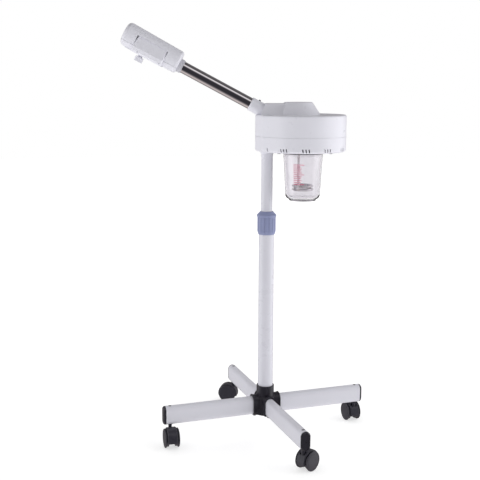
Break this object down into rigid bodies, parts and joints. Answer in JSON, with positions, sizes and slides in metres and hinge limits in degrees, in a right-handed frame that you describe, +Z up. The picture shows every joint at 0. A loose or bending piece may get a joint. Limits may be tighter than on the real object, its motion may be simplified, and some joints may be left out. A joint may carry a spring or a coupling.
{
  "type": "facial steamer",
  "caption": "Facial steamer with a clear water jar under a round steam head, a sloping chrome arm and nozzle, on a telescopic pole with a cross base on castors.",
  "frame": {"origin": "on the floor, on the pole's axis", "axes": "+Z up along the pole; the steam arm and nozzle point to -X; +Y is the rear, with the switches"},
  "size_m": [0.6451, 0.5506, 1.0872],
  "materials": {
    "black_plastic": "satin",
    "leg_paint": "satin",
    "tube_paint": "gloss",
    "steel": "bright",
    "castor_plastic": "satin",
    "collar_plastic": "satin",
    "bush_plastic": "satin",
    "white_plastic": "gloss",
    "neck_plastic": "satin",
    "jar_glass": "clear",
    "rubber": "matte",
    "heater_sheath": "dark",
    "aluminium": "machined",
    "silicone": "matte",
    "board": "satin",
    "lamp_glass": "clear",
    "chrome": "polished",
    "switch_black": "gloss",
    "switch_red": "gloss"
  },
  "bodies": {
    "stand": {"hub": "black_plastic", "leg_1": "leg_paint", "leg_2": "leg_paint", "leg_3": "leg_paint", "leg_4": "leg_paint", "leg_caps": "black_plastic", "castor_sockets": "black_plastic", "castor_stems": "steel", "leg_screws": "steel", "hub_bolt": "steel", "pole_lower": "tube_paint", "pole_collet": "black_plastic"},
    "slider": {"pole_upper": "tube_paint", "guide_bush": "bush_plastic"},
    "lock_collar": {"lock_collar": "collar_plastic"},
    "head": {"pole_boss": "white_plastic", "head_socket": "aluminium", "housing_lower": "white_plastic", "housing_upper": "white_plastic", "housing_screws": "steel", "dome_cap": "white_plastic", "elbow": "white_plastic", "heater_plate": "steel", "heater_coil": "heater_sheath", "jar_gasket": "rubber", "steam_chamber": "white_plastic", "steam_pipe": "silicone", "control_board": "board", "uv_lamp": "lamp_glass", "switch_panel": "black_plastic", "switch_frames": "switch_black", "cord_gland": "rubber"},
    "jar": {"jar": "jar_glass"},
    "jar_ring": {"jar_ring": "black_plastic"},
    "elbow_screw": {"elbow_screw": "black_plastic"},
    "arm": {"arm_tube": "chrome"},
    "nozzle": {"nozzle_neck": "neck_plastic", "nozzle_upper": "white_plastic", "nozzle_lower": "white_plastic", "nozzle_saddle": "white_plastic"},
    "spout": {"spout": "white_plastic"},
    "power_rocker": {"power_rocker": "switch_red"},
    "ozone_rocker": {"ozone_rocker": "switch_black"},
    "castor_1": {"castor_hood_1": "castor_plastic", "castor_axle_1": "steel"},
    "wheel_1a": {"wheel_1a": "castor_plastic"},
    "wheel_1b": {"wheel_1b": "castor_plastic"},
    "castor_2": {"castor_hood_2": "castor_plastic", "castor_axle_2": "steel"},
    "wheel_2a": {"wheel_2a": "castor_plastic"},
    "wheel_2b": {"wheel_2b": "castor_plastic"},
    "castor_3": {"castor_hood_3": "castor_plastic", "castor_axle_3": "steel"},
    "wheel_3a": {"wheel_3a": "castor_plastic"},
    "wheel_3b": {"wheel_3b": "castor_plastic"},
    "castor_4": {"castor_hood_4": "castor_plastic", "castor_axle_4": "steel"},
    "wheel_4a": {"wheel_4a": "castor_plastic"},
    "wheel_4b": {"wheel_4b": "castor_plastic"}
  },
  "joints": [
    {"name": "pole_height", "type": "slide", "parent": "stand", "child": "slider", "axis": [0, 0, 1], "range_m": [-0.12, 0.24]},
    {"name": "collar_twist", "type": "hinge", "parent": "stand", "child": "lock_collar", "pos_m": [0, 0, 0.5775], "axis": [0, 0, 1], "range_deg": [-120, 0]},
    {"name": "head_swivel", "type": "hinge", "parent": "slider", "child": "head", "pos_m": [0, 0, 0.8], "axis": [0, 0, 1], "range_deg": [-180, 180]},
    {"name": "jar_drop", "type": "slide", "parent": "head", "child": "jar", "axis": [0, 0, -1], "range_m": [0, 0.13]},
    {"name": "jar_ring_turn", "type": "hinge", "parent": "jar", "child": "jar_ring", "pos_m": [0.093, 0, 0.7625], "axis": [0, 0, 1], "range_deg": [-60, 0]},
    {"name": "elbow_screw_turn", "type": "hinge", "parent": "head", "child": "elbow_screw", "pos_m": [-0.02, 0, 0.89337], "axis": [0.4679, 0, 0.8838], "range_deg": [-540, 0]},
    {"name": "arm_turn", "type": "hinge", "parent": "head", "child": "arm", "pos_m": [-0.0443, 0, 0.887], "axis": [-0.8838, 0, 0.4679], "range_deg": [-90, 90]},
    {"name": "nozzle_turn", "type": "hinge", "parent": "arm", "child": "nozzle", "pos_m": [-0.22105, 0, 0.98059], "axis": [-0.8838, 0, 0.4679], "range_deg": [-180, 180]},
    {"name": "spout_swivel", "type": "hinge", "parent": "nozzle", "child": "spout", "pos_m": [-0.32708, 0, 0.99938], "axis": [0.4679, 0, 0.8838], "range_deg": [-60, 60]},
    {"name": "power_rocker_tilt", "type": "hinge", "parent": "head", "child": "power_rocker", "pos_m": [0.08, 0.104, 0.832], "axis": [1, 0, 0], "range_deg": [-18, 0]},
    {"name": "ozone_rocker_tilt", "type": "hinge", "parent": "head", "child": "ozone_rocker", "pos_m": [0.106, 0.104, 0.832], "axis": [1, 0, 0], "range_deg": [-18, 0]},
    {"name": "castor_1_swivel", "type": "hinge", "parent": "stand", "child": "castor_1", "pos_m": [0.25151, 0.0866, 0.05], "axis": [0, 0, 1], "continuous": true},
    {"name": "wheel_1a_spin", "type": "hinge", "parent": "castor_1", "child": "wheel_1a", "pos_m": [0.24542, 0.10247, 0.025], "axis": [-0.9336, -0.3584, 0], "continuous": true},
    {"name": "wheel_1b_spin", "type": "hinge", "parent": "castor_1", "child": "wheel_1b", "pos_m": [0.24542, 0.10247, 0.025], "axis": [-0.9336, -0.3584, 0], "continuous": true},
    {"name": "castor_2_swivel", "type": "hinge", "parent": "stand", "child": "castor_2", "pos_m": [-0.0866, 0.25151, 0.05], "axis": [0, 0, 1], "continuous": true},
    {"name": "wheel_2a_spin", "type": "hinge", "parent": "castor_2", "child": "wheel_2a", "pos_m": [-0.10323, 0.25504, 0.025], "axis": [-0.2079, -0.9781, 0], "continuous": true},
    {"name": "wheel_2b_spin", "type": "hinge", "parent": "castor_2", "child": "wheel_2b", "pos_m": [-0.10323, 0.25504, 0.025], "axis": [-0.2079, -0.9781, 0], "continuous": true},
    {"name": "castor_3_swivel", "type": "hinge", "parent": "stand", "child": "castor_3", "pos_m": [-0.25151, -0.0866, 0.05], "axis": [0, 0, 1], "continuous": true},
    {"name": "wheel_3a_spin", "type": "hinge", "parent": "castor_3", "child": "wheel_3a", "pos_m": [-0.24711, -0.10302, 0.025], "axis": [0.9659, 0.2588, 0], "continuous": true},
    {"name": "wheel_3b_spin", "type": "hinge", "parent": "castor_3", "child": "wheel_3b", "pos_m": [-0.24711, -0.10302, 0.025], "axis": [0.9659, 0.2588, 0], "continuous": true},
    {"name": "castor_4_swivel", "type": "hinge", "parent": "stand", "child": "castor_4", "pos_m": [0.0866, -0.25151, 0.05], "axis": [0, 0, 1], "continuous": true},
    {"name": "wheel_4a_spin", "type": "hinge", "parent": "castor_4", "child": "wheel_4a", "pos_m": [0.09841, -0.23928, 0.025], "axis": [-0.7193, 0.6947, 0], "continuous": true},
    {"name": "wheel_4b_spin", "type": "hinge", "parent": "castor_4", "child": "wheel_4b", "pos_m": [0.09841, -0.23928, 0.025], "axis": [-0.7193, 0.6947, 0], "continuous": true}
  ]
}
